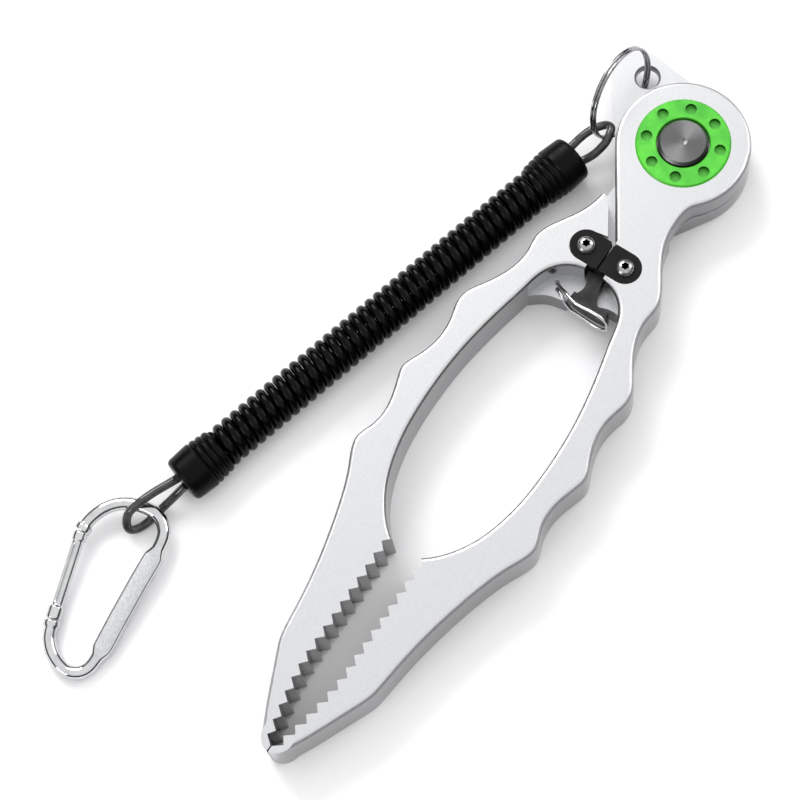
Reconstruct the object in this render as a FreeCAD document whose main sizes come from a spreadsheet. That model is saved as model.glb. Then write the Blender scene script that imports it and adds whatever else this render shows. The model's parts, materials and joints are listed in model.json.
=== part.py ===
import FreeCAD, Part
import Sketcher
import math
import os
from FreeCAD import Placement, Rotation, Vector

# Fishing pliers with a coiled lanyard, lying flat.  Millimetres.
# Origin: hub axis at the back face.  +Y runs away from the jaw tip, +Z is up.

DIMENSIONS = {
    "arm_depth": 17.0,
    "lower_layer_top": 8.3,
    "upper_layer_base": 8.7,
    "hub_radius": 20.0,
    "edge_round": 1.2,
    "pin_radius": 5.0,
    "pin_clearance": 0.05,
    "pin_top": 14.0,
    "nut_radius": 8.0,
    "nut_depth": 3.0,
    "ring_outer_radius": 14.1,
    "ring_hole_radius": 7.9,
    "ring_base": 14.6,
    "ring_top": 17.5,
    "recess_floor": 13.5,
    "dimple_radius": 1.7,
    "dimple_circle_radius": 11.0,
    "cap_radius": 7.5,
    "cap_top": 18.4,
    "cap_base": 14.0,
    "plate_base": 15.4,
    "plate_top": 17.1,
    "plate_ear_radius": 4.8,
    "screw_offset": 6.7,
    "screw_row": -42.2,
    "shelf_top": 8.3,
    "stem_base": 8.6,
    "stem_top": 11.0,
    "stem_crown": 13.0,
    "bar_base": 3.2,
    "bar_top": 13.4,
    "spring_wire_radius": 0.5,
    "spring_hole_radius": 0.9,
    "spring_hole_floor": 7.0,
    "screw_foot": 7.0,
    "screw_shank_radius": 1.45,
    "screw_neck_radius": 2.0,
    "screw_head_radius": 2.75,
    "screw_head_top": 18.75,
    "socket_floor": 16.4,
    "lug_base": 4.8,
    "lug_top": 7.8,
    "lug_radius": 8.5,
    "lug_hole_radius": 3.4,
    "split_ring_radius": 14.2,
    "split_wire_radius": 1.0,
    "coil_outer_radius": 6.65,
    "coil_length": 122.8,
    "coil_axis_height": 7.8,
    "cap_outer_radius": 7.6,
    "cap_length": 14.6,
    "ferrule_radius": 2.6,
    "ferrule_length": 8.0,
    "loop_strand_radius": 1.3,
    "carabiner_wire_radius": 2.0,
    "gate_radius": 1.7,
}

LUG_CENTRE = Vector(-24.4, 14.9, 0)
LUG_HOLE = Vector(-22.4, 16.1, 0)
RING_CENTRE = Vector(-24.7, 4.6, 15.1)
RING_NORMAL = Vector(0.972, 0.0, 0.235)
COIL_START = Vector(-27.2, -17.3, 7.8)
COIL_DIRECTION = Vector(-40.8, -146.4, 0).normalize()
SEAM_GAP = 0.25
ARM_GAP = 0.2
TOOTH_PITCH = 4.2
TOOTH_COUNT = 16
TOOTH_DEPTH = 2.05
FIRST_VALLEY = -148.3
TAPER_START = -186.0
CAP_RING_PITCH = 2.1
GATE_SLOT = 1.3
GATE_SLOT_DEPTH = 7.0

doc = FreeCAD.newDocument("FishingPliers")
sheet = doc.addObject("Spreadsheet::Sheet", "Dimensions")
for row, (alias, value) in enumerate(DIMENSIONS.items(), start=1):
    sheet.set("A%d" % row, alias)
    sheet.set("B%d" % row, str(value))
    sheet.setAlias("B%d" % row, alias)
doc.recompute()

nodes = []


def size(alias):
    return float(sheet.get(alias))


def bind(feature, prop, expression):
    """Bind a property to sheet cells: a name in <> stands for its cell."""
    feature.setExpression(prop, expression.replace("<", "Dimensions.").replace(">", ""))


def keep(feature, label):
    feature.Label = label
    nodes.append(feature)
    return feature


# ---------------------------------------------------------------- helpers

def new_body(label):
    body = doc.addObject("PartDesign::Body", label + "_body")
    return keep(body, label)


def origin_plane(body, role):
    return next(f for f in body.Origin.OriginFeatures if f.Role == role)


def smooth_curve(points, previous):
    """Spline through the points that leaves an arc along its tangent."""
    curve = Part.BSplineCurve()
    if isinstance(previous, (Part.Arc, Part.ArcOfCircle)):
        leave = previous.tangent(previous.LastParameter)[0]
        tangents = [leave] + [Vector()] * (len(points) - 1)
        flags = [True] + [False] * (len(points) - 1)
        curve.interpolate(Points=points, Tangents=tangents, TangentFlags=flags)
    else:
        curve.interpolate(points)
    return curve


def path_edges(start, steps):
    """Edges from start: a point is a line, two points an arc, more a spline."""
    edges = []
    here = Vector(*start)
    for step in steps:
        if isinstance(step[0], (int, float)):
            there = Vector(*step)
            edges.append(Part.LineSegment(here, there))
        elif len(step) == 2:
            there = Vector(*step[1])
            edges.append(Part.Arc(here, Vector(*step[0]), there))
        else:
            there = Vector(*step[-1])
            edges.append(smooth_curve([here] + [Vector(*p) for p in step], edges[-1] if edges else None))
        here = there
    return edges


def sketch_on(body, name, edges, level="0", role="XY_Plane"):
    sketch = body.newObject("Sketcher::SketchObject", name)
    sketch.AttachmentSupport = [(origin_plane(body, role), "")]
    sketch.MapMode = "FlatFace"
    bind(sketch, "AttachmentOffset.Base.z", level)
    for edge in edges:
        sketch.addGeometry(edge, False)
    return sketch


def circle_sketch(body, name, centre, radius, level="0"):
    circle = Part.Circle(Vector(centre[0], centre[1], 0), Vector(0, 0, 1), 1.0)
    sketch = sketch_on(body, name, [circle], level)
    sketch.addConstraint(Sketcher.Constraint("DistanceX", -1, 1, 0, 3, centre[0]))
    sketch.addConstraint(Sketcher.Constraint("DistanceY", -1, 1, 0, 3, centre[1]))
    sketch.addConstraint(Sketcher.Constraint("Radius", 0, 1.0))
    bind(sketch, "Constraints[2]", radius)
    return sketch


def pad(body, name, sketch, length):
    feature = body.newObject("PartDesign::Pad", name)
    feature.Profile = sketch
    bind(feature, "Length", length)
    doc.recompute()
    return feature


def pocket(body, name, sketch, length):
    """Cut upwards from the sketch by length, and make sure that it cuts."""
    before = body.Shape.Volume
    feature = body.newObject("PartDesign::Pocket", name)
    feature.Profile = sketch
    feature.Reversed = True
    bind(feature, "Length", length)
    doc.recompute()
    if body.Shape.Volume >= before - 1e-6:
        raise RuntimeError(name + " cuts nothing")
    return feature


def dress(body, kind, name, test, prop, amount):
    """Fillet or chamfer the edges of the body that pass the test."""
    base = body.Tip
    chosen = edges_where(base.Shape, test)
    feature = body.newObject("PartDesign::" + kind, name)
    feature.Base = (base, chosen)
    bind(feature, prop, amount)
    doc.recompute()
    return feature


def edges_where(shape, test):
    return ["Edge%d" % (i + 1) for i, e in enumerate(shape.Edges) if test(e)]


def cylinder(name, radius, low, high, centre=(0, 0)):
    solid = doc.addObject("Part::Cylinder", name)
    bind(solid, "Radius", radius)
    bind(solid, "Height", "(%s) - (%s)" % (high, low))
    solid.Placement.Base = Vector(centre[0], centre[1], 0)
    bind(solid, "Placement.Base.z", low)
    return solid


def box(name, lows, highs):
    solid = doc.addObject("Part::Box", name)
    solid.Length = highs[0] - lows[0]
    solid.Width = highs[1] - lows[1]
    solid.Height = highs[2] - lows[2]
    solid.Placement.Base = Vector(*lows)
    return solid


def cut(name, base, tool):
    result = doc.addObject("Part::Cut", name)
    result.Base = base
    result.Tool = tool
    return result


def fuse(name, parts):
    result = doc.addObject("Part::MultiFuse", name)
    result.Shapes = parts
    return result


def tube_node(label, inner, outer, low, high, centre=(0, 0)):
    wall = cylinder(label + "_outer", outer, low, high, centre)
    hole = cylinder(label + "_hole", inner, low, high, centre)
    return keep(cut(label + "_cut", wall, hole), label)


def shape_node(label, shape, placement=None):
    feature = doc.addObject("Part::Feature", label + "_shape")
    feature.Shape = shape
    if placement is not None:
        feature.Placement = placement
    return keep(feature, label)


def swept(points, radius, closed=False):
    """A round wire that follows a smooth curve through the points."""
    curve = Part.BSplineCurve()
    curve.interpolate([Vector(*p) for p in points], PeriodicFlag=closed)
    spine = Part.Wire([curve.toShape()])
    start = curve.value(curve.FirstParameter)
    tangent = curve.tangent(curve.FirstParameter)[0]
    ring = Part.Wire([Part.Circle(start, tangent, radius).toShape()])
    return spine.makePipeShell([ring], True, False)


# ---------------------------------------------------------------- the arms

def tooth_tip(y):
    """Half gap between the jaws at a tooth tip: even, then closing to the end."""
    if y > TAPER_START:
        return 5.0
    share = min(1.0, (TAPER_START - y) / 28.0)
    return max(ARM_GAP, 5.0 * (1.0 - share ** 1.6))


def teeth():
    """Zigzag from the jaw tip back to the finger loop."""
    steps = []
    for i in reversed(range(TOOTH_COUNT)):
        y = FIRST_VALLEY - TOOTH_PITCH * i
        tip = y - TOOTH_PITCH / 2
        steps.append((tooth_tip(tip), tip, 0))
        steps.append((tooth_tip(y) + TOOTH_DEPTH, y, 0))
    steps.append((5.0, FIRST_VALLEY + TOOTH_PITCH / 2, 0))
    return steps


def on_side(side, steps):
    """Mirror the right arm's steps for the left arm."""
    def flip(p):
        return (side * p[0], p[1], 0)
    return [flip(s) if isinstance(s[0], (int, float)) else [flip(p) for p in s] for s in steps]


def arm_outline(side):
    """Closed outline: hub, concave neck, scalloped handle, jaw, teeth, loop."""
    handle = [
        (12.3, -17.1, 0), (11.65, -21.5, 0), (11.95, -27.0, 0), (13.4, -32.0, 0), (15.7, -36.4, 0),
        (20.3, -44.4, 0), (21.0, -47.0, 0), (20.6, -52.0, 0), (21.2, -58.0, 0),
        (23.1, -63.0, 0), (26.3, -68.5, 0), (29.0, -73.6, 0), (29.2, -76.8, 0), (28.0, -82.0, 0),
        (27.5, -87.0, 0), (28.3, -92.5, 0), (30.3, -97.8, 0), (31.6, -101.8, 0), (30.9, -105.2, 0),
        (29.0, -111.5, 0), (28.4, -117.0, 0), (29.4, -122.0, 0), (30.8, -126.6, 0), (30.2, -129.8, 0),
        (27.8, -135.0, 0), (23.4, -147.0, 0), (20.0, -160.0, 0), (17.6, -173.0, 0), (16.5, -182.0, 0),
        (15.7, -186.8, 0), (13.6, -192.0, 0), (8.0, -204.5, 0), (4.6, -211.2, 0),
    ]
    loop = [
        (8.0, -143.8, 0), (11.6, -139.6, 0), (15.2, -133.5, 0), (17.9, -125.8, 0), (19.4, -118.5, 0),
        (20.2, -110.0, 0), (20.2, -97.0, 0), (19.5, -88.0, 0), (18.3, -80.0, 0), (16.5, -71.0, 0),
        (14.6, -62.5, 0), (13.5, -57.5, 0), (11.6, -53.6, 0), (8.6, -50.6, 0), (4.4, -48.7, 0),
        (ARM_GAP, -48.0, 0),
    ]
    hub = size("hub_radius")
    start = (side * ARM_GAP, -37.2, 0)
    lean = math.atan2(-37.2, ARM_GAP) - math.acos(hub / math.hypot(ARM_GAP, 37.2))
    neck = math.radians(-45)
    steps = [
        (hub * math.cos(lean), hub * math.sin(lean), 0),
        [(0, hub, 0), (hub * math.cos(neck), hub * math.sin(neck), 0)],
        handle,
        [(3.0, -213.9, 0), (ARM_GAP, -215.3, 0)],
    ]
    steps += teeth()
    steps += [loop, (ARM_GAP, -37.2, 0)]
    return path_edges(start, on_side(side, steps))


def hub_step(side):
    """Region that the other arm's layer takes up, bounded by the step line."""
    start = (side * -ARM_GAP, -40.2, 0)
    steps = [(1.2, -39.2, 0), (9.35, -26.0, 0), (45, -26.0, 0), (45, 30, 0), (-45, 30, 0),
             (-45, -40.2, 0), (-ARM_GAP, -40.2, 0)]
    return path_edges(start, on_side(side, steps))


def lock_pocket(side, reach, mouth):
    """Hollow under the lock plates for the lever, and its way out to the loop."""
    start = (0, -41.0, 0)
    steps = [(reach, -41.0, 0), (reach, -47.3, 0), (mouth, -47.4, 0), (mouth, -54.5, 0),
             (0, -54.5, 0), (0, -41.0, 0)]
    return path_edges(start, on_side(side, steps))


def mouth_outline(side, reach):
    """Gap in the loop's rim where the lever comes out from under the plates."""
    start = (0, -46.9, 0)
    steps = [(reach, -46.9, 0), (reach, -52.0, 0), (0, -52.0, 0), (0, -46.9, 0)]
    return path_edges(start, on_side(side, steps))


def plate_outline(side, grow, seam, lift=0.0):
    """Half of a straight-sided plate with one round ear; lift raises its seam end."""
    radius = size("plate_ear_radius") + grow
    x, y = size("screw_offset"), size("screw_row")
    start = (side * seam, y + radius + lift, 0)
    steps = [(x, y + radius, 0), [(x + radius, y, 0), (x, y - radius, 0)],
             (seam, y - radius, 0), (seam, y + radius + lift, 0)]
    return path_edges(start, on_side(side, steps))


def shelf_outline(side):
    """Shelf inside the head of the finger loop: deep at the left, short at the right."""
    start = (side * ARM_GAP, -47.0, 0)
    left_edge = [(18.0, -63.5, 0), (14.45, -62.0, 0),
                 [(11.6, -59.8, 0), (9.5, -58.7, 0), (7.1, -58.1, 0), (4.2, -57.6, 0)],
                 (3.7, -54.2, 0)]
    right_edge = [(18.0, -54.8, 0), (14.5, -54.5, 0), [(10.8, -52.9, 0), (5.4, -53.8, 0)]]
    steps = [(18.0, -47.0, 0)] + (right_edge if side > 0 else left_edge)
    steps += [(ARM_GAP, -54.2, 0), (ARM_GAP, -47.0, 0)]
    return path_edges(start, on_side(side, steps))


def is_rim(edge):
    """Long curved edges of the top and bottom faces: not the teeth or the seam."""
    bound = edge.BoundBox
    level = bound.ZMax - bound.ZMin < 1e-6
    face = min(abs(bound.ZMin), abs(bound.ZMax - size("arm_depth"))) < 1e-6
    return level and face and edge.Length > 9.0 and not isinstance(edge.Curve, Part.Line)


def build_arm(label, side):
    body = new_body(label)
    outline = sketch_on(body, label + "_outline", arm_outline(side))
    pad(body, label + "_pad", outline, "<arm_depth>")
    right = side > 0
    step_level = "0" if right else "<lower_layer_top>"
    step_depth = "<upper_layer_base>" if right else "<arm_depth> - <lower_layer_top>"
    step = sketch_on(body, label + "_step", hub_step(side), step_level)
    pocket(body, label + "_step_cut", step, step_depth)
    dress(body, "Fillet", label + "_rounds", is_rim, "Radius", "<edge_round>")
    shelf = sketch_on(body, label + "_shelf", shelf_outline(side))
    pad(body, label + "_shelf_pad", shelf, "<shelf_top>")
    reach, mouth_reach = (6.3, 3.9) if right else (3.4, 3.4)
    hollow = sketch_on(body, label + "_hollow", lock_pocket(side, reach, mouth_reach), "<shelf_top>")
    pocket(body, label + "_hollow_cut", hollow, "<plate_base> - <shelf_top> + 0.05")
    mouth = sketch_on(body, label + "_mouth", mouth_outline(side, 3.0 if right else 3.3), "<plate_base>")
    pocket(body, label + "_mouth_cut", mouth, "5")
    seat_edges = plate_outline(side, 0.15, 0, 0 if right else 1.1)
    seat = sketch_on(body, label + "_seat", seat_edges, "<plate_base> - 0.05")
    pocket(body, label + "_seat_cut", seat, "5")
    screw_centre = (side * size("screw_offset"), size("screw_row"))
    bore = "1.5" if right else "2.05"
    screw_hole = circle_sketch(body, label + "_screw_hole", screw_centre, bore, "6")
    pocket(body, label + "_screw_cut", screw_hole, "12")
    return body


def build_left_arm():
    body = build_arm("left_arm", -1)
    lug = sketch_on(body, "lug_outline", lug_outline(), "<lug_base>")
    pad(body, "lug_pad", lug, "<lug_top> - <lug_base>")
    hole = circle_sketch(body, "lug_hole", (LUG_HOLE.x, LUG_HOLE.y), "<lug_hole_radius>", "4")
    pocket(body, "lug_hole_cut", hole, "5")
    bore = circle_sketch(body, "pin_bore", (0, 0), "<pin_radius>", "-1")
    pocket(body, "pin_bore_cut", bore, "12")
    nut_seat = circle_sketch(body, "nut_seat", (0, 0), "<nut_radius> + 0.02", "-1")
    pocket(body, "nut_seat_cut", nut_seat, "<nut_depth> + 1")
    for number, root in enumerate(SPRING_ROOTS, start=1):
        name = "spring_hole_%d" % number
        circle = circle_sketch(body, name, root, "<spring_hole_radius>", "<spring_hole_floor>")
        pocket(body, name + "_cut", circle, "3")
    around = 2 * math.pi * size("lug_hole_radius")
    dress(body, "Chamfer", "lug_bevel", lambda e: abs(e.Length - around) < 0.01, "Size", "0.6")


def lug_outline():
    """Tab for the split ring, faired into the hub disc."""
    x, y, r = LUG_CENTRE.x, LUG_CENTRE.y, size("lug_radius")
    away = Vector(x, y, 0).normalize()
    spread = math.acos((size("hub_radius") - r) / Vector(x, y, 0).Length)
    base = math.atan2(y, x)

    def at(centre, radius, angle):
        return (centre[0] + radius * math.cos(angle), centre[1] + radius * math.sin(angle), 0)
    hub = size("hub_radius") - 0.5
    start = at((0, 0), hub, base - spread)
    outer = at((x, y), r, base - spread)
    tip = (x + away.x * r, y + away.y * r, 0)
    back = at((x, y), r, base + spread)
    end = at((0, 0), hub, base + spread)
    return path_edges(start, [outer, [tip, back], end, (-8, 6, 0), start])


def build_right_arm():
    body = build_arm("right_arm", 1)
    bore = circle_sketch(body, "right_bore", (0, 0), "<pin_radius> + <pin_clearance>", "8")
    pocket(body, "right_bore_cut", bore, "10")
    seat = circle_sketch(body, "ring_seat", (0, 0), "<ring_outer_radius> + 0.02", "<ring_base>")
    pocket(body, "ring_seat_cut", seat, "5")
    recess = circle_sketch(body, "cap_recess", (0, 0), "<ring_hole_radius>", "<recess_floor>")
    pocket(body, "cap_recess_cut", recess, "5")
    return body


# ---------------------------------------------------------------- the pivot

def revolved(label, profile, start):
    """Body turned about its own Z axis from a half section in the XZ plane."""
    body = new_body(label)
    sketch = sketch_on(body, label + "_section", path_edges(start, profile), role="XZ_Plane")
    turn = body.newObject("PartDesign::Revolution", label + "_turn")
    turn.Profile = sketch
    turn.ReferenceAxis = (sketch, ["V_Axis"])
    turn.Angle = 360
    doc.recompute()
    return body


def build_tension_ring():
    inner, outer = size("ring_hole_radius"), size("ring_outer_radius")
    low, high = size("ring_base"), size("ring_top")
    lip = 0.5
    profile = [(outer, low, 0), (outer, high - lip, 0), (outer - lip, high, 0),
               (inner + lip / 2, high, 0), (inner, high - lip / 2, 0), (inner, low, 0)]
    body = revolved("tension_ring", profile, (inner, low, 0))
    angle = math.radians(20)
    reach = size("dimple_circle_radius")
    centre = (reach * math.cos(angle), reach * math.sin(angle))
    sketch = circle_sketch(body, "dimple", centre, "<dimple_radius>", "<ring_top> - 1.5")
    dimple = pocket(body, "dimple_cut", sketch, "3")
    pattern = body.newObject("PartDesign::PolarPattern", "dimples")
    pattern.Originals = [dimple]
    pattern.Axis = (origin_plane(body, "Z_Axis"), [""])
    pattern.Angle = 360
    pattern.Occurrences = 8
    body.Tip = pattern
    doc.recompute()


def build_pivot_cap():
    outer, low, high = size("cap_radius"), size("cap_base"), size("cap_top")
    bevel = 0.8
    profile = [(outer, low, 0), (outer, high - bevel, 0), (outer - bevel, high, 0),
               (1.2, high, 0), (0, high - 0.3, 0), (0, low, 0)]
    revolved("pivot_cap", profile, (0, low, 0))


def build_pivot_nut():
    wall = cylinder("nut_wall", "<nut_radius>", "0", "<nut_depth>")
    hole = cylinder("nut_hole", "<pin_radius>", "0", "<nut_depth>")
    slots = [box("nut_slot_%d" % i, (x - 1, -0.9, -1), (x + 1, 0.9, 1.2)) for i, x in enumerate((-7.4, 7.4))]
    tools = fuse("nut_tools", [hole] + slots)
    keep(cut("nut_cut", wall, tools), "pivot_nut")


def build_pivot():
    keep(cylinder("pin", "<pin_radius>", "0", "<pin_top>"), "pivot_pin")
    build_pivot_cap()
    build_tension_ring()
    build_pivot_nut()
    bore = "<pin_radius> + <pin_clearance>"
    tube_node("thrust_washer", bore, "12", "<lower_layer_top>", "<upper_layer_base> - 0.05")
    tube_node("friction_washer", bore, "<cap_radius>", "<recess_floor>", "<cap_base>")


# ---------------------------------------------------------------- the lock

def build_plates():
    for label, side in (("lock_plate", -1), ("keeper_plate", 1)):
        body = new_body(label)
        outline = sketch_on(body, label + "_outline", plate_outline(side, 0, SEAM_GAP), "<plate_base>")
        pad(body, label + "_pad", outline, "<plate_top> - <plate_base>")
        dress(body, "Chamfer", label + "_notch", at_seam_corner, "Size", "0.8")
        centre = (side * size("screw_offset"), size("screw_row"))
        hole = circle_sketch(body, label + "_hole", centre, "2.05", "15")
        pocket(body, label + "_hole_cut", hole, "4")


def at_seam_corner(edge):
    """The upright edge of a plate at the hub end of the seam."""
    bound = edge.BoundBox
    upright = bound.ZMax - bound.ZMin > 1 and bound.XMax - bound.XMin < 1e-6
    return upright and abs(bound.XMin) < 1 and bound.YMin > size("screw_row")


def build_stem():
    """Stem with a crown that shows, a root under the plate and a hook behind it."""
    body = new_body("lock_stem")
    root_end = [(-3.0, -43.2, 0), (2.6, -43.2, 0)]
    right_side = [(2.9, -49.0, 0), (3.2, -51.0, 0), (4.2, -53.4, 0), (6.4, -55.9, 0)]
    left_side = [(-1.4, -54.2, 0), (-0.9, -52.2, 0), (-1.6, -49.8, 0), (-3.2, -47.3, 0)]
    foot = (-2.6, -55.9, 0)
    below = [root_end[1], (2.4, -47.0, 0), right_side, foot, left_side, root_end[0]]
    outline = sketch_on(body, "stem_outline", path_edges(root_end[0], below), "<stem_base>")
    pad(body, "stem_pad", outline, "<stem_top> - <stem_base>")
    crown = [(2.4, -47.0, 0), right_side, foot, left_side]
    crown_sketch = sketch_on(body, "crown_outline", path_edges(left_side[-1], crown), "<stem_top> - 0.5")
    pad(body, "crown_pad", crown_sketch, "<stem_crown> - <stem_top> + 0.5")
    root = sketch_on(body, "stem_root", path_edges((-3.0, -46.4, 0), [
        (-0.6, -46.4, 0), (-0.6, -43.2, 0), (-3.0, -43.2, 0), (-3.0, -46.4, 0)]), "<stem_top> - 0.5")
    pad(body, "stem_root_pad", root, "<plate_base> - <stem_top> + 0.5")
    hook = sketch_on(body, "hook_outline", path_edges((-0.7, -47.0, 0), [
        (5.2, -47.0, 0), (5.2, -44.7, 0), (4.0, -44.7, 0), (4.0, -46.2, 0), (-0.7, -46.2, 0),
        (-0.7, -47.0, 0)]), "<stem_top> - 0.5")
    pad(body, "hook_pad", hook, "<plate_base> - <stem_top>")


BAR_LINE = [(-2.6, -55.7), (3.2, -56.1), (9.3, -55.9)]
SPRING_ROOTS = [(-9.3, -54.0), (-7.9, -55.6)]


def build_thumb_bar():
    """Curved strip across the end of the stem."""
    body = new_body("thumb_bar")
    half = 0.75
    front = [(x, y - half, 0) for x, y in BAR_LINE]
    back = [(x, y + half, 0) for x, y in BAR_LINE]
    edges = path_edges(back[0], [[back[1], back[2]], front[2], [front[1], front[0]], back[0]])
    outline = sketch_on(body, "bar_outline", edges, "<bar_base>")
    pad(body, "bar_pad", outline, "<bar_top> - <bar_base>")


def build_lock_spring():
    """One wire bent to a long U: both ends in the left arm, its bend round the bar's end."""
    low, high = size("bar_base") + 0.4, size("bar_top") - 0.6
    front = -57.75
    foot = size("spring_hole_floor") - 0.3
    upper = [(*SPRING_ROOTS[0], foot), (-9.0, -54.15, 8.3), (-7.4, -55.1, 9.9), (-5.2, -56.0, 11.2),
             (-1.8, front + 0.3, high - 0.4), (3.1, front + 0.2, high), (8.2, front + 0.2, high)]
    bend = [(10.0, front + 0.1, high - 1.3), (10.3, front, (low + high) / 2), (10.0, front, low + 1.3)]
    lower = [(8.2, front - 0.1, low), (2.4, front - 0.1, low), (-0.9, front - 0.2, low + 1.0),
             (-3.5, front - 0.1, 6.8), (-6.0, -56.8, 8.8), (-7.5, -55.9, 8.7), (*SPRING_ROOTS[1], foot)]
    shape_node("lock_spring", swept(upper + bend + lower, size("spring_wire_radius")))


def button_screw(label, x):
    """Low button head screw with a six-lobe socket."""
    foot, top = size("screw_foot"), size("screw_head_top")
    shank, neck, head = size("screw_shank_radius"), size("screw_neck_radius"), size("screw_head_radius")
    under_plate, under_head = size("plate_base") - 0.05, size("plate_top") + 0.05
    section = [(shank, foot, 0), (shank, under_plate, 0), (neck, under_plate, 0), (neck, under_head, 0),
               (head, under_head, 0), (head, under_head + 0.35, 0),
               [(head * 0.7, top - 0.25, 0), (0, top, 0)], (0, foot, 0)]
    body = revolved(label, section, (0, foot, 0))
    lobes = []
    for i in range(6):
        start_angle, end_angle = math.radians(60 * i), math.radians(60 * (i + 1))
        middle = (start_angle + end_angle) / 2
        points = [Vector(r * math.cos(a), r * math.sin(a), 0)
                  for r, a in ((1.35, start_angle), (0.98, middle), (1.35, end_angle))]
        lobes.append(Part.Arc(*points))
    socket = sketch_on(body, label + "_socket", lobes, "<socket_floor>")
    pocket(body, label + "_socket_cut", socket, "3")
    body.Placement.Base = Vector(x, size("screw_row"), 0)
    return body


def build_lock():
    build_plates()
    build_stem()
    build_thumb_bar()
    build_lock_spring()
    button_screw("lock_pivot_screw", -size("screw_offset"))
    button_screw("keeper_screw", size("screw_offset"))
    centre = (-size("screw_offset"), size("screw_row"))
    tube_node("lock_bush", "1.5", "2.03", "7", "15", centre)
    keep(cylinder("post", "0.9", "11.3", "<plate_base>", (2.6, -43.4)), "catch_post")


# ---------------------------------------------------------------- the lanyard

def along(distance):
    """Point on the lanyard's axis."""
    point = COIL_START + COIL_DIRECTION * distance
    point.z = size("coil_axis_height")
    return point


def axis_placement(distance):
    return Placement(along(distance), Rotation(Vector(0, 0, 1), COIL_DIRECTION))


def build_split_ring():
    torus = doc.addObject("Part::Torus", "split_ring_torus")
    bind(torus, "Radius1", "<split_ring_radius>")
    bind(torus, "Radius2", "<split_wire_radius>")
    torus.Placement = Placement(RING_CENTRE, Rotation(Vector(0, 0, 1), RING_NORMAL))
    keep(torus, "split_ring")


def cap_section():
    """Rounded end face, a plain barrel, then rings that step down over the coil's turns."""
    outer, length = size("cap_outer_radius"), size("cap_length")
    rings, groove = 3, 0.45
    barrel = length - rings * CAP_RING_PITCH
    steps = [(outer - 1.9, 0, 0), [(outer - 0.9, 0.35, 0), (outer - 0.4, 1.3, 0)], (outer, barrel - 0.6, 0)]
    for i in range(rings):
        low = barrel + i * CAP_RING_PITCH
        crest = outer - 0.1 - 0.22 * i
        steps.append((crest - groove, low, 0))
        steps.append([(crest, low + CAP_RING_PITCH / 2, 0), (crest - groove, low + CAP_RING_PITCH - 0.2, 0)])
    return steps + [(outer - 1.3, length, 0), (0, length, 0), (0, 0, 0)]


def build_cap(label, distance, face_out):
    """Moulded sleeve over the coil's last turns, bored for its loop's ferrule."""
    body = revolved(label, cap_section(), (0, 0, 0))
    hole = circle_sketch(body, label + "_bore", (0, 0), "<ferrule_radius>", "2")
    pocket(body, label + "_bore_cut", hole, "<ferrule_length>")
    direction = COIL_DIRECTION * face_out
    body.Placement = Placement(along(distance), Rotation(Vector(0, 0, 1), direction))


def build_ferrule(label, distance, face_out):
    solid = doc.addObject("Part::Cylinder", label + "_sleeve")
    bind(solid, "Radius", "<ferrule_radius>")
    bind(solid, "Height", "<ferrule_length>")
    direction = COIL_DIRECTION * face_out
    solid.Placement = Placement(along(distance) + direction * 2, Rotation(Vector(0, 0, 1), direction))
    keep(solid, label)


def build_coil():
    solid = doc.addObject("Part::Cylinder", "coil_envelope")
    bind(solid, "Radius", "<coil_outer_radius>")
    bind(solid, "Height", "<coil_length>")
    solid.Placement = axis_placement(size("cap_length"))
    keep(solid, "lanyard_coil")


UPPER_LOOP = [(-29.8, -16.6, 7.8), (-29.3, -14.0, 8.0), (-28.5, -11.2, 8.7), (-27.2, -8.4, 9.5),
              (-25.4, -6.1, 10.3), (-23.4, -4.9, 11.4), (-21.8, -5.3, 12.3), (-20.9, -7.3, 12.7),
              (-20.6, -9.6, 12.2), (-21.2, -12.2, 10.8), (-22.3, -14.5, 9.2), (-23.8, -16.6, 8.0),
              (-24.6, -18.0, 7.8)]

CARABINER_LINE = [(-85.2, -191.3), (-85.0, -186.9), (-83.3, -182.2), (-79.9, -178.3), (-74.9, -175.9),
                  (-69.7, -175.2), (-65.5, -177.1), (-63.1, -181.6), (-62.0, -194.4), (-60.9, -206.0),
                  (-59.6, -218.8), (-60.6, -224.4), (-64.8, -227.0), (-70.4, -225.7), (-74.5, -222.4),
                  (-77.0, -217.4)]

LOWER_LOOP = [(-69.5, -163.3, 7.8), (-71.3, -168.0, 8.8), (-73.2, -173.0, 9.7), (-74.8, -177.6, 9.2),
              (-75.7, -181.4, 5.6), (-74.0, -183.1, 2.9), (-72.1, -180.8, 1.6), (-70.7, -175.8, 1.5),
              (-68.9, -169.8, 3.3), (-66.5, -164.1, 7.3)]


def build_loops():
    strand = size("loop_strand_radius")
    shape_node("upper_loop", swept(UPPER_LOOP, strand))
    shape_node("lower_loop", swept(LOWER_LOOP, strand))


CARABINER_FOOT = Vector(0, -228.0, 2.05)
CARABINER_TILT = 3.6


def carabiner_placement():
    return Placement(CARABINER_FOOT, Rotation(Vector(1, 0, 0), CARABINER_TILT))


def local(point):
    """A point of the carabiner in its own plane."""
    return Vector(point[0], point[1] - CARABINER_FOOT.y, 0)


def slotted(shape, centre, unit):
    """Cut a thin slot for a tongue across the end of the gate."""
    slot = Part.makeBox(GATE_SLOT_DEPTH, 6.0, GATE_SLOT, Vector(-GATE_SLOT_DEPTH / 2, -3.0, -GATE_SLOT / 2))
    slot.Placement = Placement(centre, Rotation(Vector(1, 0, 0), unit))
    return shape.cut(slot)


def tongue(root, unit, length):
    """Flat tongue that stands out of the frame's end into the gate."""
    flat = Part.makeBox(length, 2.2, GATE_SLOT - 0.5, Vector(0, -1.1, -(GATE_SLOT - 0.5) / 2))
    flat.Placement = Placement(root, Rotation(Vector(1, 0, 0), unit))
    return flat


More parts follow.
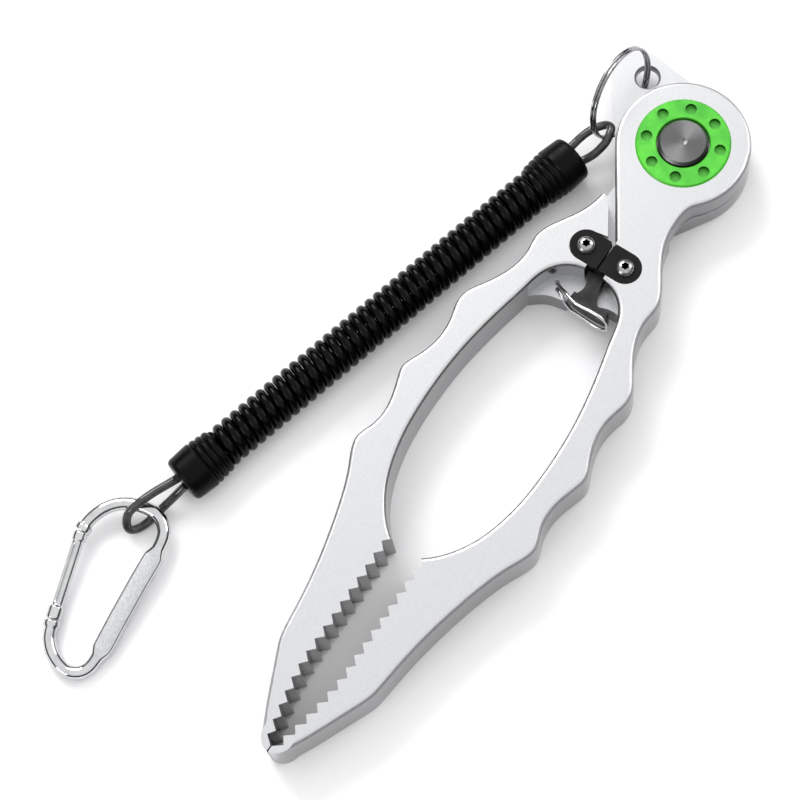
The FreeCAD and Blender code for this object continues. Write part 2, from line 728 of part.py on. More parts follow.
def build_carabiner():
    wire = size("carabiner_wire_radius")
    frame = swept([local(p) for p in CARABINER_LINE], wire)
    top, bottom = local(CARABINER_LINE[0]), local(CARABINER_LINE[-1])
    unit = Vector(top - bottom).normalize()
    hinge = bottom + unit * 2.8
    bore = Part.makeCylinder(0.8, 8, hinge + Vector(0, 0, -4))
    tongues = [tongue(bottom - unit * 0.5, unit, 4.7), tongue(top + unit * 0.5, unit * -1, 3.0)]
    frame = frame.fuse(tongues).cut(bore).removeSplitter()
    shape_node("carabiner_frame", frame, carabiner_placement())
    length = (top - bottom).Length - 1.0 - 0.6
    gate = Part.makeCylinder(size("gate_radius"), length, bottom + unit, unit)
    gate = slotted(gate, bottom + unit * 2.0, unit)
    gate = slotted(gate, top - unit * 1.6, unit)
    spring_room = Part.makeCylinder(0.8, 10, bottom + unit * 7, unit)
    gate = gate.cut(spring_room).cut(Part.makeCylinder(0.85, 8, hinge + Vector(0, 0, -4)))
    shape_node("carabiner_gate", gate, carabiner_placement())
    shape_node("gate_spring", spring_room, carabiner_placement())
    pin = Part.makeCylinder(0.8, 3.9, hinge + Vector(0, 0, -1.95))
    shape_node("gate_pin", pin, carabiner_placement())


def build_lanyard():
    build_split_ring()
    build_loops()
    build_cap("upper_cap", 0, 1)
    build_ferrule("upper_ferrule", 0, 1)
    build_coil()
    total = size("coil_length") + 2 * size("cap_length")
    build_cap("lower_cap", total, -1)
    build_ferrule("lower_ferrule", total, -1)
    build_carabiner()


build_left_arm()
build_right_arm()
build_pivot()
build_lock()
build_lanyard()
doc.recompute()

os.makedirs("parts", exist_ok=True)
for node in nodes:
    if "Invalid" in node.State or "Error" in node.State:
        raise RuntimeError("%s did not compute" % node.Label)
    if node.Shape.isNull() or not node.Shape.isValid():
        raise RuntimeError("%s has a bad shape" % node.Label)
    node.Shape.exportStep("parts/%s.step" % node.Label)
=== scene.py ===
"""Fishing pliers with a coiled lanyard on a pale studio floor, in metres and the frame's own axes."""
import json
import math

import bmesh
import bpy
from mathutils import Matrix, Vector


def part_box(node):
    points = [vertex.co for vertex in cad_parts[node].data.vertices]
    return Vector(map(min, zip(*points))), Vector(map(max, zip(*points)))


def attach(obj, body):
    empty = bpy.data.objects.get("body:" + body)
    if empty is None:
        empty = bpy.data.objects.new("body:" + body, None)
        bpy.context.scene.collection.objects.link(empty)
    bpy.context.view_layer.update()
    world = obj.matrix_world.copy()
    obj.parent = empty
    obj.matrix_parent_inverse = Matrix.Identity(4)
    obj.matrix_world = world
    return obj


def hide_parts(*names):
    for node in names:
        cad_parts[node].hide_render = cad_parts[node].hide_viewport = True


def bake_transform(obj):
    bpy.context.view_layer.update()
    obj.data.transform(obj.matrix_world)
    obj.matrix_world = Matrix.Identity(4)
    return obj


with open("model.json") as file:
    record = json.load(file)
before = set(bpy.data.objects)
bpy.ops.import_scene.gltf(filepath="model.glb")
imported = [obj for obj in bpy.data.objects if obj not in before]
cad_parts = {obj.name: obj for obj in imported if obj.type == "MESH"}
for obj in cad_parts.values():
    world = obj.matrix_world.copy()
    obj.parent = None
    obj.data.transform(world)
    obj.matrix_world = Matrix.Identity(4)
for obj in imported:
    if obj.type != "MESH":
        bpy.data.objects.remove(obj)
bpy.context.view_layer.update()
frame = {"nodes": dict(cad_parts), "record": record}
MM = 0.001

# The camera looks down on the pliers from the jaws' right.
AIM = Vector((-30.236, -107.107, 0.0)) * MM
CAMERA_AZIMUTH = math.radians(48.03)
CAMERA_ELEVATION = math.radians(71.74)
CAMERA_ROLL = math.radians(-14.69)
CAMERA_DISTANCE = 744.5 * MM
CAMERA_LENS = 113.63
CAMERA_SENSOR = 36.0

# Painted shade on the aluminium by slope, from upright (0) over its rounded rims to level (1): upright
# faces darker, a dark band low on the rims.
PAINTED_SLOPE_SHADE = [(0.0, 0.48), (0.12, 0.42), (0.30, 0.13), (0.50, 0.42), (0.80, 1.0)]

# The studio: a dome that brightens with height, the key from the upper left, the fill from the upper
# right, and a low light that draws the edges.
WORLD_HORIZON = 0.07
WORLD_ZENITH = 1.17
DOME_START, DOME_STOP = 0.32, 0.7
KEY_PLACE, KEY_SIZE, KEY_POWER = (-0.9, 0.42, 0.87), (0.7, 0.7), 12
FILL_PLACE, FILL_SIZE, FILL_POWER = (0.5, 0.95, 0.8), (0.8, 0.8), 5
EDGE_PLACE, EDGE_SIZE, EDGE_POWER = (-0.35, -1.2, 0.38), (0.5, 0.3), 3
FLOOR_REACH = 3.0
FLOOR_HEIGHT = -0.0002

# How many faces go round a wire, the bow and the gate.
TUBE_SIDES, BOW_SIDES, GATE_SIDES = 12, 28, 48

# The lanyard's route, the same line as in the CAD model.
COIL_ROUTE = [(-31.12, -31.37, 7.8), (-38.4, -57.5, 7.8), (-47.6, -90.5, 7.8),
              (-56.8, -123.5, 7.8), (-64.06, -149.57, 7.8)]
COIL_TUBE_RADIUS = 1.58 * MM
COIL_MEAN_RADIUS = 5.05 * MM
COIL_TURNS = 38
COIL_STEPS_PER_TURN = 30

# The split ring: centre and axis as in the CAD model, wound from one thin wire. Its two turns lie
# a little under one wire apart, so that they touch. Angles are in radians along the winding.
RING_CENTRE = Vector((-24.7, 4.6, 15.1)) * MM
RING_AXIS = Vector((0.972, 0.0, 0.235)).normalized()
RING_RADIUS = 14.2 * MM
RING_WIRE_RADIUS = 0.54 * MM
RING_NESTING = 0.97
RING_START = math.radians(200)
RING_END_GAP = 0.3
RING_CROSSOVER = 0.28
RING_STEPS = 220

# Painted shade in the screws' sockets: its reach from the axis, and the lip's depth below the crown.
SOCKET_REACH = 1.4 * MM
SOCKET_LIP = 0.12 * MM

# The carabiner's bend line and tilt, as in the CAD model.
CARABINER_LINE = [(-85.2, -191.3), (-85.0, -186.9), (-83.3, -182.2), (-79.9, -178.3), (-74.9, -175.9),
                  (-69.7, -175.2), (-65.5, -177.1), (-63.1, -181.6), (-62.0, -194.4), (-60.9, -206.0),
                  (-59.6, -218.8), (-60.6, -224.4), (-64.8, -227.0), (-70.4, -225.7), (-74.5, -222.4),
                  (-77.0, -217.4)]
CARABINER_FOOT = Vector((0.0, -228.0, 2.05)) * MM
CARABINER_TILT = math.radians(3.6)

# The bow: round wire, a collar at each end, and beyond SPINE_LEFT (mm) a spine that is pressed flat
# and wide between two places in y (mm). Its flat faces are brushed.
BOW_WIRE = 2.0 * MM
SPINE_LEFT = -66
SPINE_HALF_WIDTH, SPINE_HALF_HEIGHT = 3.0 * MM, 1.8 * MM
SPINE_TOP, SPINE_FOOT, SPINE_SHOULDER = -183.4, -219.4, 3.4
SPINE_BOXINESS = 1.6
COLLAR_RISE, COLLAR_LENGTH, COLLAR_BEVEL_START = 0.55 * MM, 2.2 * MM, 0.8
BRUSHED_FROM_SHARE, BRUSHED_FROM_LEVEL = 0.6, 0.93

# The gate: radii of its sleeve, nose band and hinge knuckle, the gaps at its ends, and its seam.
# Each STEP says where a change in the sleeve begins and ends, measured from the nearer gate end.
GATE_BODY, GATE_BAND, GATE_KNUCKLE = 1.75 * MM, 2.15 * MM, 2.35 * MM
GATE_FOOT_GAP, GATE_TOP_GAP = 0.3 * MM, 0.2 * MM
GATE_END_ROUND, GATE_END_LENGTH = 0.35 * MM, 0.5 * MM
KNUCKLE_STEP, BAND_STEP = (3.6 * MM, 4.3 * MM), (2.6 * MM, 3.2 * MM)
SEAM_FOOT_STEP, SEAM_TOP_STEP = (5 * MM, 5.6 * MM), (4 * MM, 4.6 * MM)
GATE_STEPS = 90
SEAM_ANGLE, SEAM_WIDTH, SEAM_DEPTH = math.radians(105), math.radians(13), 1.0 * MM


# ------------------------------------------------------------------ materials

def new_material(name, color, metallic=0.0, roughness=0.5, **sockets):
    """Principled material with plain numbers on its own sockets."""
    material = bpy.data.materials.new(name)
    material.use_nodes = True
    shader = material.node_tree.nodes["Principled BSDF"]
    shader.inputs["Base Color"].default_value = (*color, 1.0)
    shader.inputs["Metallic"].default_value = metallic
    shader.inputs["Roughness"].default_value = roughness
    for socket, value in sockets.items():
        shader.inputs[socket.replace("_", " ")].default_value = value
    return material


def add(material, kind, **values):
    node = material.node_tree.nodes.new(kind)
    for name, value in values.items():
        if name in node.inputs:
            node.inputs[name].default_value = value
        else:
            setattr(node, name, value)
    return node


def link(material, source, target):
    material.node_tree.links.new(source, target)


def feed(material, value, socket):
    """Link a node's output to a socket, or set the socket to a plain value."""
    if isinstance(value, bpy.types.NodeSocket):
        link(material, value, socket)
    else:
        socket.default_value = value


def shader_of(material):
    return material.node_tree.nodes["Principled BSDF"]


def base_colour(material):
    return shader_of(material).inputs["Base Color"]


def noise(material, scale, detail=4.0, stretch=(1, 1, 1)):
    """Noise over the row's own coordinates; scale counts features per metre."""
    where = add(material, "ShaderNodeTexCoord")
    mapping = add(material, "ShaderNodeMapping")
    mapping.inputs["Scale"].default_value = stretch
    texture = add(material, "ShaderNodeTexNoise", Scale=scale, Detail=detail, Roughness=0.55)
    link(material, where.outputs["Object"], mapping.inputs["Vector"])
    link(material, mapping.outputs["Vector"], texture.inputs["Vector"])
    return texture.outputs["Fac"]


def stretched(material, source, start, stop, low, high, curve="LINEAR"):
    """A number that runs from low to high while the source runs from start to stop."""
    ramp = add(material, "ShaderNodeMapRange", interpolation_type=curve)
    for name, value in (("From Min", start), ("From Max", stop), ("To Min", low), ("To Max", high)):
        ramp.inputs[name].default_value = value
    link(material, source, ramp.inputs["Value"])
    return ramp.outputs["Result"]


def vary(material, source, socket, low, high, start=0.3, stop=0.7):
    """Drive a shader socket between two numbers."""
    result = stretched(material, source, start, stop, low, high)
    link(material, result, shader_of(material).inputs[socket])


def shades(material, source, stops):
    """Colour from a ramp of two or more (place, colour) stops."""
    ramp = add(material, "ShaderNodeValToRGB")
    for place, _ in stops[1:-1]:
        ramp.color_ramp.elements.new(place)
    for element, (place, color) in zip(ramp.color_ramp.elements, stops):
        element.position = place
        element.color = (*color, 1)
    link(material, source, ramp.inputs["Fac"])
    return ramp.outputs["Color"]


def tones(material, source, dark, light, start=0.3, stop=0.7):
    """Colour between two tones."""
    return shades(material, source, [(start, dark), (stop, light)])


def tint(material, source, dark, light, start=0.3, stop=0.7):
    """Base colour between two tones."""
    link(material, tones(material, source, dark, light, start, stop), base_colour(material))


def mixed(material, first, second, factor, blend="MIX"):
    """Colour of a mix node; each of its three inputs is an output to link or a plain value."""
    mix = add(material, "ShaderNodeMix", data_type="RGBA", blend_type=blend)
    colours = [socket for socket in mix.inputs if socket.type == "RGBA"]
    feed(material, first, colours[0])
    feed(material, second, colours[1])
    feed(material, factor, mix.inputs["Factor"])
    return next(socket for socket in mix.outputs if socket.type == "RGBA")


def maths(material, operation, first, second):
    """Number from a maths node; each operand is an output to link or a plain number."""
    node = add(material, "ShaderNodeMath", operation=operation)
    feed(material, first, node.inputs[0])
    feed(material, second, node.inputs[1])
    return node.outputs["Value"]


def upward(material, low, high):
    """0 where the surface stands upright, 1 where it lies level; low and high bound the change."""
    surface = add(material, "ShaderNodeNewGeometry")
    split = add(material, "ShaderNodeSeparateXYZ")
    size = add(material, "ShaderNodeMath", operation="ABSOLUTE")
    link(material, surface.outputs["Normal"], split.inputs["Vector"])
    link(material, split.outputs["Z"], size.inputs[0])
    return stretched(material, size.outputs["Value"], low, high, 0.0, 1.0, "SMOOTHSTEP")


def bump(material, source, distance, strength):
    node = add(material, "ShaderNodeBump", Strength=strength, Distance=distance)
    link(material, source, node.inputs["Height"])
    link(material, node.outputs["Normal"], shader_of(material).inputs["Normal"])


def blasted_aluminium():
    """Bead-blasted clear-anodised aluminium, with painted shade by slope on its upright faces and
    rims.
    """
    material = new_material("blasted_aluminium", (0.60, 0.605, 0.615), metallic=0.92, roughness=0.33)
    bump(material, noise(material, 2600, detail=3.0), 0.000016, 0.4)
    grain = noise(material, 1900, detail=3.0)
    tops = tones(material, grain, (0.53, 0.535, 0.545), (0.585, 0.59, 0.60))
    level = upward(material, 0.0, 1.0)
    # Painted shade: upright faces and a band low on the rounded rims are darkened by their slope.
    slope_shade = shades(material, level, [(place, (tone, tone, tone)) for place, tone in PAINTED_SLOPE_SHADE])
    link(material, mixed(material, tops, slope_shade, 1.0, "MULTIPLY"), base_colour(material))
    vary(material, level, "Roughness", 0.17, 0.33, 0.3, 0.95)
    return material


def turned_steel():
    """Steel faced on a lathe: fine rings round the hub axis spread the light into a fan."""
    material = new_material("turned_steel", (0.16, 0.16, 0.165), metallic=1.0, roughness=0.3,
                            Anisotropic=0.9)
    where = add(material, "ShaderNodeTexCoord")
    rings = add(material, "ShaderNodeTexWave", wave_type="RINGS", rings_direction="Z", Scale=1600.0,
                Distortion=0.3, Detail=2.0)
    link(material, where.outputs["Object"], rings.inputs["Vector"])
    bump(material, rings.outputs["Fac"], 0.00001, 0.4)
    tint(material, rings.outputs["Fac"], (0.125, 0.125, 0.127), (0.165, 0.165, 0.168), 0.1, 0.9)
    tangent = add(material, "ShaderNodeTangent", direction_type="RADIAL", axis="Z")
    link(material, tangent.outputs["Tangent"], shader_of(material).inputs["Tangent"])
    return material


def anodised_green():
    """Bright green anodising over fine blasted grain, with painted shade on its upright faces."""
    material = new_material("anodised_green", (0.05, 0.43, 0.014), roughness=0.4, Coat_Weight=0.15,
                            Coat_Roughness=0.3)
    bump(material, noise(material, 2200, detail=3.0), 0.000015, 0.35)
    # Painted shade: near-black green on upright faces, such as the ring's side and the dimples' walls.
    upright = (0.004, 0.05, 0.002, 1)
    face = tones(material, noise(material, 210, detail=5.0), (0.03, 0.36, 0.008), (0.075, 0.56, 0.02))
    colour = mixed(material, upright, face, upward(material, 0.25, 0.8))
    link(material, colour, base_colour(material))
    vary(material, noise(material, 700), "Roughness", 0.32, 0.5)
    return material


def satin_metal(name, dark, light, rough, metallic=1.0, shine=0.5):
    """Fine satin finish: steel, black oxide, brass or the carabiner's wire."""
    material = new_material(name, light, metallic=metallic, roughness=rough, Specular_IOR_Level=shine)
    bump(material, noise(material, 1800, detail=3.0), 0.000012, 0.4)
    tint(material, noise(material, 260), dark, light)
    vary(material, noise(material, 900), "Roughness", rough * 0.8, rough * 1.25)
    return material


def drawn_wire(name, dark, light, rough=0.16):
    """Bright wire with faint draw marks."""
    material = new_material(name, light, metallic=1.0, roughness=rough)
    tint(material, noise(material, 420, stretch=(1, 6, 6)), dark, light)
    vary(material, noise(material, 1200), "Roughness", rough * 0.7, rough * 1.5)
    bump(material, noise(material, 1500), 0.000006, 0.3)
    return material


def moulded(name, color, rough, shine=0.5):
    """Moulded polymer with a faint mould grain and uneven sheen."""
    material = new_material(name, color, roughness=rough, Specular_IOR_Level=shine)
    dark = tuple(c * 0.7 for c in color)
    light = tuple(c * 1.5 for c in color)
    tint(material, noise(material, 120), dark, light)
    vary(material, noise(material, 520), "Roughness", rough * 0.75, rough * 1.3)
    bump(material, noise(material, 2400), 0.00001, 0.3)
    return material


def gap_to_axis(material, place, axis):
    """Distance from an upright axis, in the row's own coordinates."""
    flat = add(material, "ShaderNodeVectorMath", operation="MULTIPLY")
    flat.inputs[1].default_value = (1, 1, 0)
    gap = add(material, "ShaderNodeVectorMath", operation="DISTANCE")
    gap.inputs[1].default_value = (axis.x, axis.y, 0)
    link(material, place, flat.inputs[0])
    link(material, flat.outputs["Vector"], gap.inputs[0])
    return gap.outputs["Value"]


def screw_chrome():
    """Chromed screw with near-black painted shade inside its socket."""
    material = drawn_wire("screw_chrome", (0.26, 0.26, 0.265), (0.48, 0.48, 0.485), 0.24)
    bright = base_colour(material).links[0].from_socket
    place = add(material, "ShaderNodeTexCoord").outputs["Object"]
    split = add(material, "ShaderNodeSeparateXYZ")
    link(material, place, split.inputs["Vector"])
    gaps = []
    for node in ("lock_pivot_screw", "keeper_screw"):
        low, high = (Vector(corner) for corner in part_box(node))
        gaps.append(gap_to_axis(material, place, (low + high) / 2))
    inside = maths(material, "LESS_THAN", maths(material, "MINIMUM", *gaps), SOCKET_REACH)
    sunk = maths(material, "LESS_THAN", split.outputs["Z"], high.z - SOCKET_LIP)
    # Painted shade: near black inside either socket, within its reach of the screw's axis and below
    # the lip.
    painted_socket_shade = maths(material, "MULTIPLY", inside, sunk)
    colour = mixed(material, bright, (0.004, 0.004, 0.004, 1), painted_socket_shade)
    link(material, colour, base_colour(material))
    return material


def smoky_plastic():
    """Smoke-grey clear moulding of the end loops."""
    material = new_material("smoky_plastic", (0.02, 0.02, 0.022), roughness=0.1, IOR=1.5,
                            Transmission_Weight=0.25)
    tint(material, noise(material, 300), (0.02, 0.02, 0.021), (0.075, 0.075, 0.079))
    bump(material, noise(material, 1500), 0.000008, 0.3)
    return material


def brushed_flat():
    """Satin face of the carabiner's flattened spine: coarse mottled brushing."""
    material = new_material("brushed_flat", (0.50, 0.505, 0.515), metallic=0.85, roughness=0.42)
    grain = noise(material, 2800, detail=5.0, stretch=(1.0, 0.5, 1.0))
    bump(material, grain, 0.00005, 0.6)
    tint(material, grain, (0.40, 0.405, 0.415), (0.60, 0.605, 0.615))
    return material


MATERIALS = {
    "arm_aluminium": blasted_aluminium(),
    "green_anodised": anodised_green(),
    "turned_steel": turned_steel(),
    "bearing_plastic": moulded("bearing_plastic", (0.75, 0.75, 0.72), 0.5),
    "black_oxide": satin_metal("black_oxide", (0.004, 0.004, 0.004), (0.008, 0.008, 0.008), 0.5,
                               metallic=0.0, shine=0.12),
    "grey_steel": satin_metal("grey_steel", (0.022, 0.022, 0.023), (0.045, 0.045, 0.047), 0.36,
                              metallic=0.7, shine=0.3),
    "bright_wire": drawn_wire("bright_wire", (0.62, 0.62, 0.64), (0.85, 0.85, 0.86)),
    "screw_chrome": screw_chrome(),
    "bush_brass": satin_metal("bush_brass", (0.55, 0.40, 0.18), (0.72, 0.56, 0.28), 0.3),
    "dark_nickel": drawn_wire("dark_nickel", (0.20, 0.20, 0.205), (0.42, 0.42, 0.43), 0.08),
    "smoky_plastic": smoky_plastic(),
    "black_rubber": moulded("black_rubber", (0.002, 0.002, 0.002), 0.3, shine=0.07),
    "coil_plastic": moulded("coil_plastic", (0.0015, 0.0015, 0.0015), 0.13, shine=0.09),
    "carabiner_aluminium": satin_metal("carabiner_aluminium", (0.50, 0.505, 0.515),
                                       (0.62, 0.625, 0.63), 0.06),
    "brushed_flat": brushed_flat(),
}


def dress_frame():
    """Every CAD node that stays gets its slot's material."""
    for entry in frame["record"]["subparts"]:
        node = frame["nodes"][entry["node"]]
        node.data.materials.clear()
        node.data.materials.append(MATERIALS[entry["material_slot"]])


def make_piece(name, mesh, body, slot, replaces):
    """A visible piece that stands for CAD nodes, hung on its body when it has one."""
    piece = bpy.data.objects.new(name, mesh)
    bpy.context.scene.collection.objects.link(piece)
    piece.data.materials.append(MATERIALS[slot])
    if body:
        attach(piece, body)
    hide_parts(*replaces)
    return piece


# ------------------------------------------------------------------ lines and skins

def loft(name, sections):
    """Closed solid through rings of points, its two ends capped flat."""
    mesh = bpy.data.meshes.new(name)
    bm = bmesh.new()
    rings = [[bm.verts.new(p) for p in section] for section in sections]
    count = len(rings[0])
    for low, high in zip(rings, rings[1:]):
        for k in range(count):
            face = bm.faces.new((low[k], low[(k + 1) % count], high[(k + 1) % count], high[k]))
            face.smooth = True
    bm.faces.new(reversed(rings[0]))
    bm.faces.new(rings[-1])
    bmesh.ops.recalc_face_normals(bm, faces=bm.faces)
    bm.to_mesh(mesh)
    bm.free()
    return mesh


def tube_mesh(name, path, radius):
    """Round tube along the points, with frames carried from one to the next."""
    normal = None
    sections = []
    for i, point in enumerate(path):
        tangent = (path[min(i + 1, len(path) - 1)] - path[max(i - 1, 0)]).normalized()
        if normal is None:
            helper = Vector((0, 0, 1)) if abs(tangent.z) < 0.9 else Vector((1, 0, 0))
            normal = tangent.cross(helper).normalized()
        normal = (normal - tangent * normal.dot(tangent)).normalized()
        side = tangent.cross(normal)
        sections.append([point + (normal * math.cos(a) + side * math.sin(a)) * radius
                         for a in (2 * math.pi * k / TUBE_SIDES for k in range(TUBE_SIDES))])
    return loft(name, sections)


def route_points(name, route):
    """Points of the smooth NURBS line that a route of control points makes."""
    curve = bpy.data.curves.new(name, "CURVE")
    curve.dimensions = "3D"
    curve.resolution_u = 24
    spline = curve.splines.new("NURBS")
    spline.points.add(len(route) - 1)
    for control, point in zip(spline.points, route):
        control.co = (*(Vector(point) * MM), 1.0)
    spline.order_u = 3
    spline.use_endpoint_u = True
    holder = bpy.data.objects.new(name, curve)
    bpy.context.scene.collection.objects.link(holder)
    bpy.context.view_layer.update()
    graph = bpy.context.evaluated_depsgraph_get()
    mesh = bpy.data.meshes.new_from_object(holder.evaluated_get(graph))
    points = [v.co.copy() for v in mesh.vertices]
    bpy.data.objects.remove(holder)
    bpy.data.meshes.remove(mesh)
    return points


def at_share(points, share):
    """Point at a share of the line's length."""
    lengths = [0.0]
    for a, b in zip(points, points[1:]):
        lengths.append(lengths[-1] + (b - a).length)
    wanted = share * lengths[-1]
    for a, b, start, stop in zip(points, points[1:], lengths, lengths[1:]):
        if wanted <= stop:
            return a.lerp(b, (wanted - start) / max(1e-9, stop - start))
    return points[-1]


def smooth_line(points, steps=10):
    """Points of the smooth line that passes through every given point."""
    ends = [points[0] * 2 - points[1]] + list(points) + [points[-1] * 2 - points[-2]]
    line = []
    for i in range(1, len(ends) - 2):
        p0, p1, p2, p3 = ends[i - 1:i + 3]
        for k in range(steps):
            t = k / steps
            line.append(0.5 * (2 * p1 + (p2 - p0) * t + (2 * p0 - 5 * p1 + 4 * p2 - p3) * t ** 2
                               + (3 * p1 - p0 - 3 * p2 + p3) * t ** 3))
    return line + [points[-1]]


def eased(value, low, high):
    """0 below low, 1 above high, smooth between."""
    t = min(1.0, max(0.0, (value - low) / (high - low)))
    return t * t * (3 - 2 * t)


# ------------------------------------------------------------------ the split ring

def build_split_ring():
    """Two turns of hard wire side by side, crossing over where its ends lie."""
    side = RING_AXIS.cross(Vector((0, 1, 0))).normalized()
    up = side.cross(RING_AXIS)
    crossing = 2 * math.pi
    path = []
    for i in range(RING_STEPS + 1):
        turn = RING_END_GAP + (2 * crossing - 2 * RING_END_GAP) * i / RING_STEPS
        shift = 2 * eased(turn, crossing - RING_CROSSOVER, crossing + RING_CROSSOVER) - 1
        angle = turn + RING_START
        radial = side * math.cos(angle) + up * math.sin(angle)
        sideways = RING_AXIS * shift * RING_WIRE_RADIUS * RING_NESTING
        path.append(RING_CENTRE + radial * RING_RADIUS + sideways)
    mesh = tube_mesh("split_ring_wire", path, RING_WIRE_RADIUS)
    return make_piece("split_ring_wire", mesh, "lanyard", "dark_nickel", ["split_ring"])


# ------------------------------------------------------------------ the carabiner

def carabiner_point(x, y):
    """A point of the carabiner's tilted plane, from millimetres."""
    local = Vector((x, y, 0)) * MM
    run = local.y - CARABINER_FOOT.y
    c, s = math.cos(CARABINER_TILT), math.sin(CARABINER_TILT)
    return Vector((local.x, CARABINER_FOOT.y + run * c, CARABINER_FOOT.z + run * s))


def carabiner_normal():
    return Vector((0, -math.sin(CARABINER_TILT), math.cos(CARABINER_TILT)))


def oval_ring(centre, across, normal, half_width, half_height, squareness):
    """Ring of a rounded section: squareness 2 is an ellipse, more is boxier."""
    ring = []
    for k in range(BOW_SIDES):
        a = 2 * math.pi * k / BOW_SIDES
        c, s = math.cos(a), math.sin(a)
        u = math.copysign(abs(c) ** (2 / squareness), c) * half_width
        v = math.copysign(abs(s) ** (2 / squareness), s) * half_height
        ring.append(centre + across * u + normal * v)
    return ring


def spine_share(point):
    """0 on the round wire, 1 on the flattened spine, for a point of the bend line in mm."""
    if point.x <= SPINE_LEFT:
        return 0.0
    below_top = eased(SPINE_TOP - point.y, 0, SPINE_SHOULDER)
    above_foot = eased(point.y - SPINE_FOOT, 0, SPINE_SHOULDER)
    return below_top * above_foot


def build_carabiner_bow():
    """Bent bar: round, but pressed flat and wide along the spine, with a collar at each end."""
    line = smooth_line([Vector((x, y, 0)) for x, y in CARABINER_LINE])
    path = [carabiner_point(p.x, p.y) for p in line]
    shares = [spine_share(p) for p in line]
    normal = carabiner_normal()
    reach = [0.0]
    for a, b in zip(path, path[1:]):
        reach.append(reach[-1] + (b - a).length)
    sections = []
    for i, (point, share) in enumerate(zip(path, shares)):
        before, after = path[max(0, i - 1)], path[min(len(path) - 1, i + 1)]
        across = (after - before).normalized().cross(normal)
        near_end = min(reach[i], reach[-1] - reach[i])
        collar = COLLAR_RISE * (1 - eased(near_end, COLLAR_LENGTH * COLLAR_BEVEL_START, COLLAR_LENGTH))
        half_width = BOW_WIRE + (SPINE_HALF_WIDTH - BOW_WIRE) * share + collar
        half_height = BOW_WIRE + (SPINE_HALF_HEIGHT - BOW_WIRE) * share + collar
        squareness = 2 + SPINE_BOXINESS * share
        sections.append(oval_ring(point, across, normal, half_width, half_height, squareness))
    mesh = loft("carabiner_bow", sections)
    make_piece("carabiner_bow", mesh, "carabiner", "carabiner_aluminium", ["carabiner_frame"])
    brush_spine(mesh, shares, normal)


def brush_spine(mesh, shares, normal):
    """Brushed finish on the two flat faces of the spine."""
    mesh.materials.append(MATERIALS["brushed_flat"])
    for i, pair in enumerate(zip(shares, shares[1:])):
        if min(pair) > BRUSHED_FROM_SHARE:
            for face in mesh.polygons[i * BOW_SIDES:(i + 1) * BOW_SIDES]:
                if abs(face.normal.dot(normal)) > BRUSHED_FROM_LEVEL:
                    face.material_index = 1


def build_gate():
    """Folded sleeve with its long seam, waisted between a nose band and a hinge knuckle."""
    start, end = carabiner_point(*CARABINER_LINE[-1]), carabiner_point(*CARABINER_LINE[0])
    along = (end - start).normalized()
    start, end = start + along * GATE_FOOT_GAP, end - along * GATE_TOP_GAP
    normal = carabiner_normal()
    across = along.cross(normal)
    length = (end - start).length
    sections = []
    for i in range(GATE_STEPS + 1):
        place = i / GATE_STEPS * length
        rest = length - place
        radius = GATE_BODY
        radius += (GATE_KNUCKLE - GATE_BODY) * (1 - eased(place, *KNUCKLE_STEP))
        radius += (GATE_BAND - GATE_BODY) * (1 - eased(rest, *BAND_STEP))
        radius -= GATE_END_ROUND * (1 - eased(min(place, rest), 0, GATE_END_LENGTH))
        in_seam = eased(place, *SEAM_FOOT_STEP) * eased(rest, *SEAM_TOP_STEP)
        ring = []
        for k in range(GATE_SIDES):
            angle = 2 * math.pi * k / GATE_SIDES
            dip = max(0.0, 1 - abs(angle - SEAM_ANGLE) / SEAM_WIDTH) * SEAM_DEPTH * in_seam
            spoke = across * math.cos(angle) + normal * math.sin(angle)
            ring.append(start + along * place + spoke * (radius - dip))
        sections.append(ring)
    mesh = loft("gate_sleeve", sections)
    make_piece("gate_sleeve", mesh, "gate", "carabiner_aluminium", ["carabiner_gate"])


# ------------------------------------------------------------------ the coil

def build_coil(fittings):
    """The curly cord: an even helix round the route, its end turns hidden by the caps."""
    line = route_points("coil_route", COIL_ROUTE)
    steps = COIL_TURNS * COIL_STEPS_PER_TURN
    axis = (line[-1] - line[0]).normalized()
    side = axis.cross(Vector((0, 0, 1))).normalized()
    up = side.cross(axis)
    path = []
    for i in range(steps + 1):
        share = i / steps
        angle = 2 * math.pi * COIL_TURNS * share
        centre = at_share(line, share)
        path.append(centre + (side * math.cos(angle) + up * math.sin(angle)) * COIL_MEAN_RADIUS)
    mesh = tube_mesh("coil_cord", path, COIL_TUBE_RADIUS)
    coil = make_piece("coil_cord", mesh, None, "coil_plastic", ["lanyard_coil"])
    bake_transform(coil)


# ------------------------------------------------------------------ the studio

def build_floor():
    """Plain pale paper, just under the lowest point of the object."""
    mesh = bpy.data.meshes.new("floor")
    corners = [(x * FLOOR_REACH, y * FLOOR_REACH, FLOOR_HEIGHT)
               for x, y in ((-1, -1), (1, -1), (1, 1), (-1, 1))]
    mesh.from_pydata(corners, [], [(0, 1, 2, 3)])
    floor = bpy.data.objects.new("floor", mesh)
    bpy.context.scene.collection.objects.link(floor)
    material = new_material("floor_paper", (0.92, 0.92, 0.93), roughness=0.95, Specular_IOR_Level=0.0)
    tint(material, noise(material, 8), (0.91, 0.91, 0.92), (0.93, 0.93, 0.94))
    mesh.materials.append(material)


def add_light(name, place, size, power):
    """Rectangular soft box aimed at the object."""
    data = bpy.data.lights.new(name, "AREA")
    data.shape = "RECTANGLE"
    data.size, data.size_y = size
    data.energy = power
    light = bpy.data.objects.new(name, data)
    light.location = place
    light.rotation_mode = "QUATERNION"
    light.rotation_quaternion = (AIM - Vector(place)).to_track_quat("-Z", "Y")
    bpy.context.scene.collection.objects.link(light)


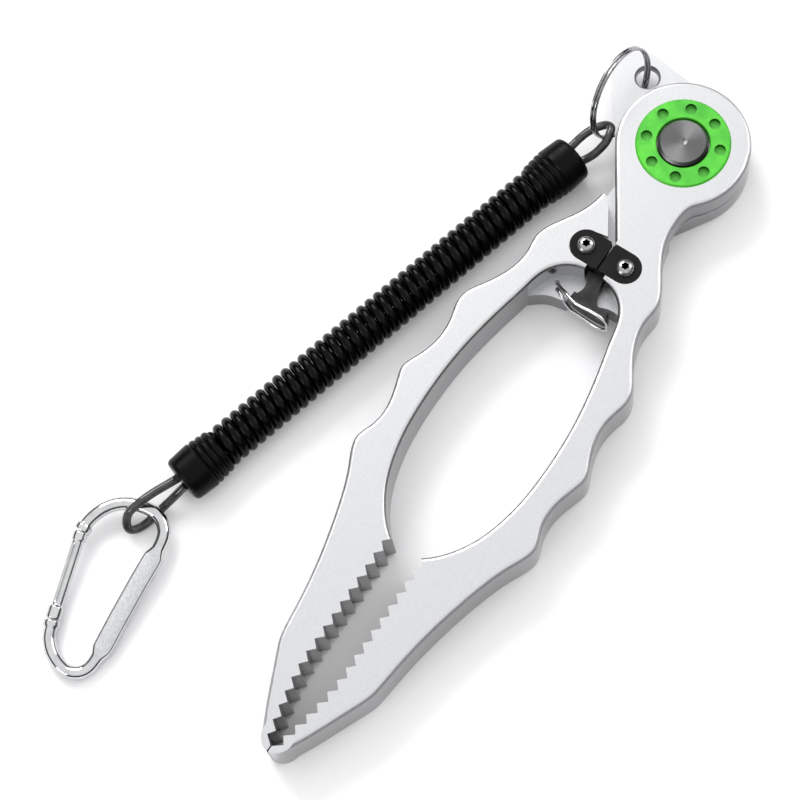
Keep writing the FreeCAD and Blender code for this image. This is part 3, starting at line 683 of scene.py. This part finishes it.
def build_world():
    """Dome that is bright overhead and darker toward the horizon."""
    world = bpy.data.worlds.new("studio")
    world.use_nodes = True
    nodes, links = world.node_tree.nodes, world.node_tree.links
    where = nodes.new("ShaderNodeTexCoord")
    split = nodes.new("ShaderNodeSeparateXYZ")
    ramp = nodes.new("ShaderNodeMapRange")
    ramp.interpolation_type = "SMOOTHSTEP"
    ramp.inputs["From Min"].default_value = DOME_START
    ramp.inputs["From Max"].default_value = DOME_STOP
    ramp.inputs["To Min"].default_value = WORLD_HORIZON
    ramp.inputs["To Max"].default_value = WORLD_ZENITH
    links.new(where.outputs["Generated"], split.inputs["Vector"])
    links.new(split.outputs["Z"], ramp.inputs["Value"])
    background = nodes["Background"]
    background.inputs["Color"].default_value = (1, 1, 1, 1)
    links.new(ramp.outputs["Result"], background.inputs["Strength"])
    bpy.context.scene.world = world


def build_lights():
    add_light("key", KEY_PLACE, KEY_SIZE, KEY_POWER)
    add_light("fill", FILL_PLACE, FILL_SIZE, FILL_POWER)
    add_light("edge", EDGE_PLACE, EDGE_SIZE, EDGE_POWER)
    build_world()


def build_camera():
    """The photograph's view: looking down from the jaws' right, rolled a little."""
    a, e, roll = CAMERA_AZIMUTH, CAMERA_ELEVATION, CAMERA_ROLL
    back = Vector((math.sin(a) * math.cos(e), -math.cos(a) * math.cos(e), math.sin(e)))
    level = Vector((math.cos(a), math.sin(a), 0))
    rise = back.cross(level)
    right = level * math.cos(roll) + rise * math.sin(roll)
    top = rise * math.cos(roll) - level * math.sin(roll)
    data = bpy.data.cameras.new("camera")
    data.lens = CAMERA_LENS
    data.sensor_width = CAMERA_SENSOR
    camera = bpy.data.objects.new("camera", data)
    turn = Matrix((right, top, back)).transposed().to_4x4()
    camera.matrix_world = Matrix.Translation(AIM + back * CAMERA_DISTANCE) @ turn
    bpy.context.scene.collection.objects.link(camera)
    bpy.context.scene.camera = camera


dress_frame()
build_coil([build_split_ring()])
build_carabiner_bow()
build_gate()
build_floor()
build_lights()
build_camera()

bpy.context.scene.view_settings.view_transform = "Standard"
